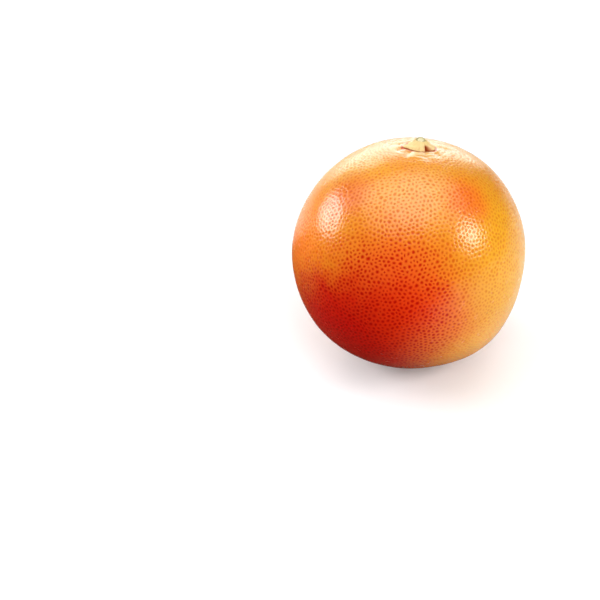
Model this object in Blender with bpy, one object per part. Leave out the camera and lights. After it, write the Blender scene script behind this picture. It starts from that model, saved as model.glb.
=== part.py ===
"""A whole grapefruit at its real size, resting as picked on the small flat spot under it.

Three pieces: the fruit, the five-lobed calyx in the basin at its stem end, and the stub of the stalk
in the calyx. Metres, +Z up. The origin is on the surface that the fruit rests on, under its middle.
The fruit's own axis, from blossom end to stem end, leans back towards +Y and a little towards +X.
"""

import math
import random
from typing import NamedTuple

import bmesh
import bpy
import numpy as np
from mathutils import Vector

MM = 0.001

# The fruit's body
FRUIT_RADIUS = 55.0 * MM
CROWN_RADIUS = 55.0 * MM  # from the centre to the stem end, before its basin sinks in
BASE_RADIUS = 53.4 * MM  # from the centre to the blossom end
LEAN_BACK = math.radians(10.0)
LEAN_RIGHT = math.radians(4.5)
FLAT_SPOT_RADIUS = 6.6 * MM
MIDDLE_ASIDE = (0.35 * MM, -0.2 * MM)  # of the fruit's centre, off the middle of its uneven outline

# The basin that the calyx sits in, the roll of rind round it, which is higher towards the front,
# the furrows that run out over the roll, and the blossom end's dimple
BASIN_DEPTH = 1.9 * MM
BASIN_WIDTH = 7.8 * MM
BASIN_STEEPNESS = 4.0
ROLL_HEIGHT = 0.45 * MM
ROLL_REACH = 8.7 * MM
ROLL_WIDTH = 1.6 * MM
ROLL_FRONT = math.radians(-90.0)
FURROW_COUNT = 9
FURROW_DEPTH = 0.55 * MM
FURROW_WIDTH = 1.7 * MM
FURROW_START = 7.0 * MM  # from the stem axis, along the rind
FURROW_LENGTHS = (8.0 * MM, 15.0 * MM)
FURROW_WANDER = 9.0  # degrees off an even spread
FURROW_SEED = 5
DIMPLE_DEPTH = 0.6 * MM
DIMPLE_WIDTH = 2.2 * MM

# The oil-gland pits, larger than life, and closer together round the stem
PIT_SPACING = 6.4 * MM
PIT_SPACING_AT_STEM = 3.4 * MM
CLOSE_PITS_REACH = 16.0 * MM
WIDE_PITS_START = 30.0 * MM
PIT_RADIUS_TO_SPACING = 0.19
PIT_DEPTH_TO_SPACING = 0.115
PIT_RIM_CORNERS = 4
PIT_JITTER = 0.11  # of the spacing
PIT_SEED = 11
PITLESS_AT_STEM = 7.5 * MM

# Rings of points that shape the two small places with no pits: the flat spot and the blossom end
FLAT_SPOT_CORNERS = 24
FLAT_SPOT_MARGIN = 3.5 * MM
DIMPLE_RINGS = (1.1 * MM, 2.2 * MM, 3.4 * MM)
DIMPLE_CORNERS = 12
DIMPLE_MARGIN = 3.0 * MM

# The calyx: five blunt lobes round a collar that holds the stub of the stalk
CALYX_REACH = 6.7 * MM
CALYX_GAP = 0.3 * MM  # clear of the rind under it
CALYX_SPOKES = 70
CALYX_STRETCH = 0.45 * MM  # wider from side to side than from front to back
CALYX_HEIGHT = 4.1 * MM
LOBE_RIDGE = 0.12 * MM  # how much higher a lobe is for each millimetre that it spreads
SOCKET_RADIUS = 2.6 * MM
SOCKET_FLOOR = 1.4 * MM

# The stub of the stalk
STUB_RADIUS = 2.3 * MM
STUB_HEIGHT = 4.4 * MM
STUB_SPOKES = 28
STUB_ROUGHNESS = 0.06 * MM
STUB_SEED = 3


class Notch(NamedTuple):
    """Where the calyx's outline draws in between two of its lobes."""

    azimuth: float  # degrees from the side towards the back
    depth: float
    width: float  # degrees


NOTCHES = (
    Notch(-50.0, 2.9 * MM, 10.0),
    Notch(-115.0, 0.7 * MM, 12.0),
    Notch(176.0, 0.9 * MM, 14.0),
    Notch(102.0, 1.1 * MM, 12.0),
    Notch(24.0, 0.8 * MM, 13.0),
)


class Swell(NamedTuple):
    """A broad, low rise of the rind, or a hollow where its height is negative."""

    azimuth: float  # degrees from +X towards +Y
    elevation: float  # degrees above level
    height: float
    spread: float  # degrees


SWELLS = (
    Swell(-31.0, -44.0, 1.7 * MM, 19.0),
    Swell(-5.0, -10.0, -1.1 * MM, 17.0),
    Swell(35.0, 40.0, 0.75 * MM, 21.0),
    Swell(174.0, 2.0, 0.4 * MM, 17.0),
    Swell(-120.0, 12.0, -0.3 * MM, 30.0),
    Swell(75.0, -8.0, 0.35 * MM, 32.0),
    Swell(140.0, 26.0, -0.3 * MM, 22.0),
    Swell(-155.0, -36.0, 0.6 * MM, 24.0),
)

# The stem axis and the two directions across it, from which azimuths round the stem are counted
AXIS = Vector((math.sin(LEAN_RIGHT) * math.cos(LEAN_BACK), math.sin(LEAN_BACK),
               math.cos(LEAN_RIGHT) * math.cos(LEAN_BACK)))
SIDE = Vector((0.0, 1.0, 0.0)).cross(AXIS).normalized()
BACK = AXIS.cross(SIDE)
DOWN = Vector((0.0, 0.0, -1.0))


def direction_at(azimuth, elevation):
    """The unit direction at an azimuth from +X and an elevation above level, in degrees."""
    turn, rise = math.radians(azimuth), math.radians(elevation)
    return Vector((math.cos(rise) * math.cos(turn), math.cos(rise) * math.sin(turn), math.sin(rise)))


def smooth_step(low, high, value):
    """Rises smoothly from 0 at low to 1 at high."""
    part = min(1.0, max(0.0, (value - low) / (high - low)))
    return part * part * (3.0 - 2.0 * part)


def angle_apart(first, second):
    """The signed angle from the second azimuth to the first, within half a turn."""
    return (first - second + math.pi) % math.tau - math.pi


def make_furrows():
    """The azimuth and length of each furrow round the stem, a little uneven."""
    draw = random.Random(FURROW_SEED)
    furrows = []
    for count in range(FURROW_COUNT):
        wander = math.radians(draw.uniform(-FURROW_WANDER, FURROW_WANDER))
        furrows.append((math.tau * count / FURROW_COUNT + wander, draw.uniform(*FURROW_LENGTHS)))
    return furrows


FURROWS = make_furrows()


def furrow_depth(arc, azimuth):
    """How deep the furrows are at a distance along the rind from the stem axis."""
    depth = 0.0
    for middle, length in FURROWS:
        across = arc * angle_apart(azimuth, middle)
        along = smooth_step(0.0, 2.5 * MM, arc - FURROW_START)
        along *= 1.0 - smooth_step(0.35 * length, length, arc - FURROW_START)
        depth += FURROW_DEPTH * along * math.exp(-((across / FURROW_WIDTH) ** 2))
    return depth


def rind_radius(direction):
    """The distance from the fruit's centre to its rind in a unit direction, without the pits."""
    along = max(-1.0, min(1.0, direction.dot(AXIS)))
    polar_radius = CROWN_RADIUS if along > 0.0 else BASE_RADIUS
    radius = 1.0 / math.sqrt((1.0 - along**2) / FRUIT_RADIUS**2 + along**2 / polar_radius**2)
    polar = math.acos(along)
    arc = polar * FRUIT_RADIUS
    azimuth = math.atan2(direction.dot(BACK), direction.dot(SIDE))
    radius -= BASIN_DEPTH * math.exp(-((arc / BASIN_WIDTH) ** BASIN_STEEPNESS))
    roll = ROLL_HEIGHT * (0.65 + 0.35 * math.cos(azimuth - ROLL_FRONT))
    radius += roll * math.exp(-(((arc - ROLL_REACH) / ROLL_WIDTH) ** 2))
    radius -= furrow_depth(arc, azimuth)
    radius -= DIMPLE_DEPTH * math.exp(-(((math.pi - polar) * FRUIT_RADIUS / DIMPLE_WIDTH) ** 2))
    for swell in SWELLS:
        apart = math.degrees(direction.angle(direction_at(swell.azimuth, swell.elevation)))
        radius += swell.height * math.exp(-((apart / swell.spread) ** 2))
    return radius


# The centre stands over the flat spot, whose edge is where the rind would cross the surface
CENTRE = Vector((*MIDDLE_ASIDE, math.sqrt(rind_radius(DOWN) ** 2 - FLAT_SPOT_RADIUS**2)))


def rind_direction(arc, azimuth):
    """The direction to the rind at a distance along it from the stem axis, at an azimuth round it."""
    polar = arc / FRUIT_RADIUS
    outwards = SIDE * math.cos(azimuth) + BACK * math.sin(azimuth)
    return AXIS * math.cos(polar) + outwards * math.sin(polar)


def above_rind(arc, azimuth, lift):
    """A point lifted off the rind along the stem axis."""
    direction = rind_direction(arc, azimuth)
    return CENTRE + direction * rind_radius(direction) + AXIS * lift


def pit_spacing(arc):
    """How far apart the pits are at a distance along the rind from the stem axis."""
    widening = smooth_step(CLOSE_PITS_REACH, WIDE_PITS_START, arc)
    return PIT_SPACING_AT_STEM + (PIT_SPACING - PIT_SPACING_AT_STEM) * widening


def pit_middles():
    """Directions to the pits' middles, on a spiral from the stem end to the blossom end.

    Each pit is a golden angle round the axis from the last one, and as far down it as the rind that
    the last pit takes up, so pits of any spacing spread evenly. A seeded jitter hides the spiral.
    """
    draw = random.Random(PIT_SEED)
    arcs = np.linspace(0.0, math.pi * FRUIT_RADIUS, 4001)
    spacings = np.array([pit_spacing(arc) for arc in arcs])
    rind_per_pit = math.sin(math.radians(60.0)) * spacings**2
    pits_per_metre = math.tau * FRUIT_RADIUS * np.sin(arcs / FRUIT_RADIUS) / rind_per_pit
    counts = np.concatenate(([0.0], np.cumsum((pits_per_metre[1:] + pits_per_metre[:-1]) / 2.0 * arcs[1])))
    golden_angle = math.pi * (3.0 - math.sqrt(5.0))
    directions = []
    for number in range(int(counts[-1])):
        arc = float(np.interp(number + 0.5, counts, arcs))
        direction = rind_direction(arc, number * golden_angle)
        reach = PIT_JITTER * pit_spacing(arc) / FRUIT_RADIUS
        direction += Vector([draw.uniform(-reach, reach) for _ in range(3)])
        directions.append(direction.normalized())
    return directions


def ring_directions(middle, radius, corners, start=0.0):
    """Directions to points evenly round a middle direction, at a distance from it along the rind."""
    across = middle.orthogonal().normalized()
    along = middle.cross(across)
    angle = radius / FRUIT_RADIUS
    ring = []
    for corner in range(corners):
        turn = start + math.tau * corner / corners
        outwards = across * math.cos(turn) + along * math.sin(turn)
        ring.append(middle * math.cos(angle) + outwards * math.sin(angle))
    return ring


def distance_along_rind(first, second):
    """How far apart two directions are, along the rind."""
    return first.angle(second) * FRUIT_RADIUS


def rind_points():
    """The rind's points, as pairs of a direction and a depth under the smooth rind.

    Each pit has a bottom and a rim turned at random, with level rind between the rims. The flat spot
    and the blossom end have rings of points of their own.
    """
    draw = random.Random(PIT_SEED)
    points = []
    for middle in pit_middles():
        from_stem = distance_along_rind(middle, AXIS)
        start = draw.uniform(0.0, math.tau)
        on_flat_spot = distance_along_rind(middle, DOWN) < FLAT_SPOT_RADIUS + FLAT_SPOT_MARGIN
        in_dimple = distance_along_rind(middle, -AXIS) < DIMPLE_RINGS[-1] + DIMPLE_MARGIN
        if on_flat_spot or in_dimple:
            continue
        spacing = pit_spacing(from_stem)
        is_pitted = from_stem > PITLESS_AT_STEM
        points.append((middle, PIT_DEPTH_TO_SPACING * spacing if is_pitted else 0.0))
        rim = ring_directions(middle, PIT_RADIUS_TO_SPACING * spacing, PIT_RIM_CORNERS, start)
        points.extend((direction, 0.0) for direction in rim)
    smooth = ring_directions(DOWN, FLAT_SPOT_RADIUS, FLAT_SPOT_CORNERS)
    smooth += ring_directions(DOWN, FLAT_SPOT_RADIUS / 2.0, FLAT_SPOT_CORNERS // 3)
    smooth.append(-AXIS)
    for number, radius in enumerate(DIMPLE_RINGS):
        smooth += ring_directions(-AXIS, radius, DIMPLE_CORNERS, math.pi * number / DIMPLE_CORNERS)
    return points + [(direction, 0.0) for direction in smooth]


def on_surface(point):
    """The point, pressed flat where it would reach below the surface that the fruit rests on."""
    return Vector((point.x, point.y, max(point.z, 0.0)))


def make_material(name, colour, roughness):
    """A Principled BSDF material that doesn't shine like metal."""
    material = bpy.data.materials.new(name)
    material.use_nodes = True
    shader = material.node_tree.nodes["Principled BSDF"]
    shader.inputs["Base Color"].default_value = (*colour, 1.0)
    shader.inputs["Roughness"].default_value = roughness
    shader.inputs["Metallic"].default_value = 0.0
    material.diffuse_color = (*colour, 1.0)
    return material


def add_object(name, mesh_builder, material):
    """Makes a named object of a bmesh, with its faces turned outwards, and frees the bmesh."""
    bmesh.ops.recalc_face_normals(mesh_builder, faces=mesh_builder.faces)
    mesh = bpy.data.meshes.new(name)
    mesh_builder.to_mesh(mesh)
    mesh_builder.free()
    mesh.materials.append(material)
    body = bpy.data.objects.new(name, mesh)
    bpy.context.scene.collection.objects.link(body)
    return body


def make_fruit(material):
    """The fruit: the rind's directions joined as the hull of a ball, and then given their distances."""
    rind = bmesh.new()
    depths = {}
    for direction, depth in rind_points():
        depths[rind.verts.new(direction)] = depth
    bmesh.ops.convex_hull(rind, input=rind.verts)
    for vertex in rind.verts:
        direction = vertex.co.normalized()
        vertex.co = on_surface(CENTRE + direction * (rind_radius(direction) - depths[vertex]))
    return add_object("fruit", rind, material)


def calyx_reach(azimuth):
    """How far the calyx spreads from the stem axis at an azimuth, drawn in between its lobes."""
    reach = CALYX_REACH + CALYX_STRETCH * math.cos(2.0 * azimuth)
    for notch in NOTCHES:
        apart = math.degrees(angle_apart(azimuth, math.radians(notch.azimuth)))
        reach -= notch.depth * math.exp(-((apart / notch.width) ** 2))
    return reach


def calyx_spoke(azimuth):
    """The calyx's section at an azimuth: from under its middle, round the lip, into the socket.

    Each point is a distance from the stem axis and a height over the rind.
    """
    reach = calyx_reach(azimuth)
    lobe = LOBE_RIDGE * (reach - CALYX_REACH) / MM
    flank = SOCKET_RADIUS + 1.1 * MM
    shoulder = reach - 0.3 * MM
    return (
        (1.5 * MM, CALYX_GAP),
        (2.5 * MM, CALYX_GAP),
        (reach - 0.9 * MM, CALYX_GAP + 0.05 * MM),
        (reach - 0.1 * MM, CALYX_GAP + 0.25 * MM),
        (reach, CALYX_GAP + 0.6 * MM),
        (shoulder, CALYX_GAP + 0.9 * MM),
        (0.3 * flank + 0.7 * shoulder, 1.7 * MM + lobe),
        (0.75 * flank + 0.25 * shoulder, 2.5 * MM + lobe),
        (SOCKET_RADIUS + 0.75 * MM, CALYX_HEIGHT - 0.5 * MM),
        (SOCKET_RADIUS + 0.35 * MM, CALYX_HEIGHT),
        (SOCKET_RADIUS, CALYX_HEIGHT - 0.1 * MM),
        (SOCKET_RADIUS, SOCKET_FLOOR),
    )


def stub_spoke(azimuth, draw):
    """The stub's section at an azimuth: up its wall, over its rim, and down into the ring of its scar."""
    rough = draw.uniform(-STUB_ROUGHNESS, STUB_ROUGHNESS)
    wall = STUB_RADIUS - 0.12 * MM * math.sin(azimuth) ** 2
    return (
        (0.5 * wall, SOCKET_FLOOR + CALYX_GAP),
        (wall, SOCKET_FLOOR + CALYX_GAP),
        (wall, STUB_HEIGHT - 0.4 * MM),
        (wall - 0.2 * MM, STUB_HEIGHT - 0.15 * MM + rough),
        (wall - 0.55 * MM, STUB_HEIGHT - 0.15 * MM - rough),
        (wall - 0.85 * MM, STUB_HEIGHT - 0.45 * MM),
        (wall - 1.2 * MM, STUB_HEIGHT - 0.2 * MM + rough),
        (0.5 * MM, STUB_HEIGHT),
    )


def make_turned(name, spokes, low_middle, high_middle, material):
    """A closed body of equal spokes round the stem axis, joined ring by ring.

    spokes has a list of (distance from the axis, height over the rind) for each azimuth, and the two
    middles are the heights of its lowest and highest points on the axis.
    """
    turned = bmesh.new()
    rows = []
    for number, section in enumerate(spokes):
        azimuth = math.tau * number / len(spokes)
        rows.append([turned.verts.new(above_rind(arc, azimuth, lift)) for arc, lift in section])
    low = turned.verts.new(above_rind(0.0, 0.0, low_middle))
    high = turned.verts.new(above_rind(0.0, 0.0, high_middle))
    for row, after in zip(rows, rows[1:] + rows[:1]):
        turned.faces.new((low, row[0], after[0]))
        for ring in range(len(row) - 1):
            turned.faces.new((row[ring], row[ring + 1], after[ring + 1]))
            turned.faces.new((row[ring], after[ring + 1], after[ring]))
        turned.faces.new((high, after[-1], row[-1]))
    return add_object(name, turned, material)


def make_calyx(material):
    """The calyx, lying over the basin with a hair's gap to the rind."""
    spokes = [calyx_spoke(math.tau * number / CALYX_SPOKES) for number in range(CALYX_SPOKES)]
    return make_turned("calyx", spokes, CALYX_GAP, SOCKET_FLOOR, material)


def make_stem_stub(material):
    """The stub of the stalk, in the calyx's socket."""
    draw = random.Random(STUB_SEED)
    spokes = [stub_spoke(math.tau * number / STUB_SPOKES, draw) for number in range(STUB_SPOKES)]
    return make_turned("stem_stub", spokes, SOCKET_FLOOR + CALYX_GAP, STUB_HEIGHT, material)


def main():
    """Clears the scene and models the grapefruit's pieces."""
    for old in list(bpy.data.objects):
        bpy.data.objects.remove(old, do_unlink=True)
    make_fruit(make_material("peel", (0.85, 0.25, 0.04), 0.38))
    make_calyx(make_material("dried_sepals", (0.66, 0.55, 0.26), 0.7))
    make_stem_stub(make_material("stalk_scar", (0.27, 0.24, 0.11), 0.85))


main()
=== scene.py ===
"""The looks of a whole grapefruit: pored peel, dry calyx, stalk scar and the scar at its blossom end.

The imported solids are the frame. The peel stands for the solid fruit, with the real size of pore that
the solid shows larger than life, and the calyx and the stalk's scar stand for the two small solids.
The rind's smooth shape is worked out by the same rule as the solid's, so the two agree everywhere.
"""

import logging
import math
import random
from collections.abc import Sequence
from dataclasses import dataclass
from enum import Enum

import bpy
import numpy as np
from mathutils import Euler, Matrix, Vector, noise


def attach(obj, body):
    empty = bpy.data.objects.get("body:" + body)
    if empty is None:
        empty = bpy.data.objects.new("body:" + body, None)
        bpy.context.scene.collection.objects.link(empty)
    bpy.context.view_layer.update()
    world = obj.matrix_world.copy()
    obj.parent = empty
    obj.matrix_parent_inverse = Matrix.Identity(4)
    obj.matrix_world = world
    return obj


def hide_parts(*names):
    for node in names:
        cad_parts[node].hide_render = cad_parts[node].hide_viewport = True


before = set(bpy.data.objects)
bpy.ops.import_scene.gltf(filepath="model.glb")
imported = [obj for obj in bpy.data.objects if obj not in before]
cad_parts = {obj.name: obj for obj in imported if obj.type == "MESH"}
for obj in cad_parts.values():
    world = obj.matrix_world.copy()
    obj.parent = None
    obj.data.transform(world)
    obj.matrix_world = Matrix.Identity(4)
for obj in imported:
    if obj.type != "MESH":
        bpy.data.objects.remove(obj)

LOG = logging.getLogger("grapefruit")
MM = 0.001
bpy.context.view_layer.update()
BODY = "root"

Piece = bpy.types.Object
Mesh = bpy.types.Mesh
Material = bpy.types.Material
Node = bpy.types.Node
NodeTree = bpy.types.NodeTree
Outputs = bpy.types.NodeOutputs
Socket = bpy.types.NodeSocket
Triple = tuple[float, float, float]
Colour = Triple
Feed = float | int | bool | str | Sequence[float] | Socket | Material
Feeds = dict[str | int, Feed]


class Slot(Enum):
    """The record's material slots."""

    PEEL = "peel"
    SEPALS = "dried_sepals"
    SCAR = "stalk_scar"


class Band(Enum):
    """The bands of the rind from stem to blossom, each with a pore spacing of its own."""

    STEM = "Stem"
    SHOULDER = "Shoulder"
    BODY = "Body"
    BLOSSOM = "Blossom"


def smooth_step(low: float, high: float, value: np.ndarray) -> np.ndarray:
    """Rises smoothly from 0 where a value is low to 1 where it is high.

    Args:
        low: Where the rise starts.
        high: Where the rise ends.
        value: The values to look up.

    Returns:
        The share of the rise at each value.
    """
    share = np.clip((np.asarray(value, float) - low) / (high - low), 0.0, 1.0)
    return share * share * (3.0 - 2.0 * share)


def angle_apart(first: np.ndarray, second: float) -> np.ndarray:
    """The signed angle from the second azimuth to each of the first, within half a turn."""
    return (first - second + math.pi) % math.tau - math.pi


def bell(value: np.ndarray, width: float) -> np.ndarray:
    """A bell curve that is 1 at zero and falls to 1/e at its width."""
    return np.exp(-((value / width) ** 2))


def fan(azimuth: np.ndarray, middle: float, width: float) -> np.ndarray:
    """A bell curve over azimuths, round a middle and with a width that are both in degrees."""
    return bell(np.degrees(angle_apart(azimuth, math.radians(middle))), width)


def waves(azimuth: np.ndarray, parts: Sequence[Triple]) -> np.ndarray:
    """The sum of some waves round the stem, each with a height, a count and a start."""
    return sum(height * np.sin(count * azimuth + start) for height, count, start in parts)


def rough_at(places: np.ndarray) -> np.ndarray:
    """Smooth random values from -1 to 1 at some places, one place to a row."""
    return np.array([noise.noise(Vector(place)) for place in places])


def rough_round(reach: np.ndarray, azimuth: np.ndarray, lift: np.ndarray, size: float) -> np.ndarray:
    """Smooth random values at places round the stem axis, with lumps of a size."""
    return rough_at(np.column_stack([reach * np.cos(azimuth), reach * np.sin(azimuth), lift]) / size)


def direction_at(azimuth: float, elevation: float) -> np.ndarray:
    """The unit direction at degrees from +X towards +Y, and at degrees above level."""
    turn, rise = math.radians(azimuth), math.radians(elevation)
    return np.array([math.cos(rise) * math.cos(turn), math.cos(rise) * math.sin(turn), math.sin(rise)])


@dataclass(frozen=True)
class Swell:
    """A broad, low rise of the rind, or a hollow where its height is negative."""

    azimuth: float  # degrees from +X towards +Y
    elevation: float  # degrees above level
    height: float
    spread: float  # degrees


@dataclass(frozen=True)
class Crease:
    """A short fold of the peel that curves round the stem."""

    azimuth: float  # degrees round the stem axis
    reach: float  # from the stem axis, along the rind
    length: float  # degrees
    depth: float
    width: float


@dataclass(frozen=True)
class Rind:
    """The smooth rind's rule: an uneven ball with a basin and furrows round its leaning stem axis."""

    radius: float = 55.0 * MM
    crown: float = 55.0 * MM
    base: float = 53.4 * MM
    lean_back: float = math.radians(10.0)
    lean_right: float = math.radians(4.5)
    flat_spot: float = 6.6 * MM
    middle_aside: tuple[float, float] = (0.35 * MM, -0.2 * MM)
    basin_depth: float = 1.9 * MM
    basin_width: float = 7.8 * MM
    basin_steepness: float = 4.0
    roll_height: float = 0.45 * MM
    roll_reach: float = 8.7 * MM
    roll_width: float = 1.6 * MM
    roll_front: float = math.radians(-90.0)
    roll_mean: float = 0.65  # the roll's mean height, as a share of its height at the front
    furrow_count: int = 9
    furrow_depth: float = 0.55 * MM
    furrow_width: float = 1.7 * MM
    furrow_start: float = 7.0 * MM
    furrow_entry: float = 2.5 * MM
    furrow_fade: float = 0.35  # the share of its length after which a furrow grows shallow
    furrow_lengths: tuple[float, float] = (8.0 * MM, 15.0 * MM)
    furrow_wander: float = 9.0  # degrees
    furrow_seed: int = 5
    crease_wander: float = 0.35 * MM
    crease_waves: float = 0.35  # how fast a crease wanders, in radians to a degree round the stem
    dimple_depth: float = 0.6 * MM
    dimple_width: float = 2.2 * MM
    swells: tuple[Swell, ...] = (
        Swell(-31.0, -44.0, 1.7 * MM, 19.0),
        Swell(-5.0, -10.0, -1.1 * MM, 17.0),
        Swell(35.0, 40.0, 0.75 * MM, 21.0),
        Swell(174.0, 2.0, 0.4 * MM, 17.0),
        Swell(-120.0, 12.0, -0.3 * MM, 30.0),
        Swell(75.0, -8.0, 0.35 * MM, 32.0),
        Swell(140.0, 26.0, -0.3 * MM, 22.0),
        Swell(-155.0, -36.0, 0.6 * MM, 24.0),
    )
    creases: tuple[Crease, ...] = (
        Crease(-172.0, 10.4 * MM, 26.0, 0.22 * MM, 0.55 * MM),
        Crease(-150.0, 12.6 * MM, 18.0, 0.16 * MM, 0.5 * MM),
        Crease(-12.0, 10.0 * MM, 24.0, 0.2 * MM, 0.55 * MM),
        Crease(-28.0, 12.4 * MM, 20.0, 0.16 * MM, 0.5 * MM),
        Crease(60.0, 11.0 * MM, 22.0, 0.18 * MM, 0.5 * MM),
        Crease(130.0, 10.2 * MM, 20.0, 0.18 * MM, 0.5 * MM),
    )

    @property
    def axis(self) -> np.ndarray:
        """The unit direction from the blossom end to the stem end."""
        back, right = self.lean_back, self.lean_right
        return np.array([math.sin(right) * math.cos(back), math.sin(back), math.cos(right) * math.cos(back)])

    @property
    def across(self) -> np.ndarray:
        """The unit direction across the stem axis that azimuths round it are counted from."""
        side = np.cross([0.0, 1.0, 0.0], self.axis)
        return side / np.linalg.norm(side)

    @property
    def behind(self) -> np.ndarray:
        """The unit direction across the stem axis at an azimuth of 90 degrees, towards the back."""
        return np.cross(self.axis, self.across)

    @property
    def centre(self) -> np.ndarray:
        """The fruit's centre, over the flat spot that the fruit rests on."""
        down = float(self.distance(np.array([[0.0, 0.0, -1.0]]))[0])
        return np.array([*self.middle_aside, math.sqrt(down**2 - self.flat_spot**2)])

    @property
    def half_way(self) -> float:
        """The way along the rind from the stem end to the blossom end."""
        return math.pi * self.radius

    def furrows(self) -> list[tuple[float, float]]:
        """Places the furrows round the stem, a little unevenly.

        Returns:
            The azimuth and the length of each furrow.
        """
        draw = random.Random(self.furrow_seed)
        found = []
        for count in range(self.furrow_count):
            wander = math.radians(draw.uniform(-self.furrow_wander, self.furrow_wander))
            found.append((math.tau * count / self.furrow_count + wander, draw.uniform(*self.furrow_lengths)))
        return found

    def furrow_share(self, arc: np.ndarray, azimuth: np.ndarray) -> np.ndarray:
        """How deep in a furrow the rind is.

        Args:
            arc: Distances along the rind from the stem axis.
            azimuth: Azimuths round the stem axis.

        Returns:
            The share of a furrow's full depth at each place.
        """
        share = np.zeros_like(arc)
        for middle, length in self.furrows():
            along = smooth_step(0.0, self.furrow_entry, arc - self.furrow_start)
            along = along * (1.0 - smooth_step(self.furrow_fade * length, length, arc - self.furrow_start))
            share = share + along * bell(arc * angle_apart(azimuth, middle), self.furrow_width)
        return share

    def crease_depth(self, arc: np.ndarray, azimuth: np.ndarray) -> np.ndarray:
        """How deep the folds that curve round the stem are.

        Args:
            arc: Distances along the rind from the stem axis.
            azimuth: Azimuths round the stem axis.

        Returns:
            The depth at each place.
        """
        depth = np.zeros_like(arc)
        for crease in self.creases:
            apart = np.degrees(angle_apart(azimuth, math.radians(crease.azimuth)))
            middle = crease.reach + self.crease_wander * np.sin(apart * self.crease_waves)
            depth = depth + crease.depth * bell(apart, crease.length) * bell(arc - middle, crease.width)
        return depth

    def distance(self, directions: np.ndarray) -> np.ndarray:
        """The distance from the fruit's centre to the rind.

        Args:
            directions: Unit directions, one to a row.

        Returns:
            The distance in each direction.
        """
        along = np.clip(directions @ self.axis, -1.0, 1.0)
        polar_radius = np.where(along > 0.0, self.crown, self.base)
        radius = 1.0 / np.sqrt((1.0 - along**2) / self.radius**2 + along**2 / polar_radius**2)
        polar = np.arccos(along)
        arc = polar * self.radius
        azimuth = np.arctan2(directions @ self.behind, directions @ self.across)
        radius = radius - self.basin_depth * np.exp(-((arc / self.basin_width) ** self.basin_steepness))
        front_share = self.roll_mean + (1.0 - self.roll_mean) * np.cos(azimuth - self.roll_front)
        radius = radius + self.roll_height * front_share * bell(arc - self.roll_reach, self.roll_width)
        radius = radius - self.furrow_depth * self.furrow_share(arc, azimuth)
        radius = radius - self.dimple_depth * bell((math.pi - polar) * self.radius, self.dimple_width)
        for swell in self.swells:
            towards = direction_at(swell.azimuth, swell.elevation)
            apart = np.degrees(np.arccos(np.clip(directions @ towards, -1.0, 1.0)))
            radius = radius + swell.height * bell(apart, swell.spread)
        return radius

    def directions(self, arc: np.ndarray, azimuth: np.ndarray) -> np.ndarray:
        """Unit directions to places on the rind.

        Args:
            arc: Distances along the rind from the stem axis.
            azimuth: Azimuths round the stem axis.

        Returns:
            One direction to a row.
        """
        polar = np.asarray(arc) / self.radius
        outwards = np.multiply.outer(np.cos(azimuth), self.across)
        outwards = outwards + np.multiply.outer(np.sin(azimuth), self.behind)
        return np.multiply.outer(np.cos(polar), self.axis) + np.sin(polar)[..., None] * outwards

    def above(self, arc: np.ndarray, azimuth: np.ndarray, lift: np.ndarray) -> np.ndarray:
        """Points lifted off the rind along the stem axis.

        Args:
            arc: Distances along the rind from the stem axis.
            azimuth: Azimuths round the stem axis.
            lift: Heights over the rind.

        Returns:
            One point to a row.
        """
        towards = self.directions(arc, azimuth)
        return self.centre + towards * self.distance(towards)[..., None] + np.multiply.outer(lift, self.axis)


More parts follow.
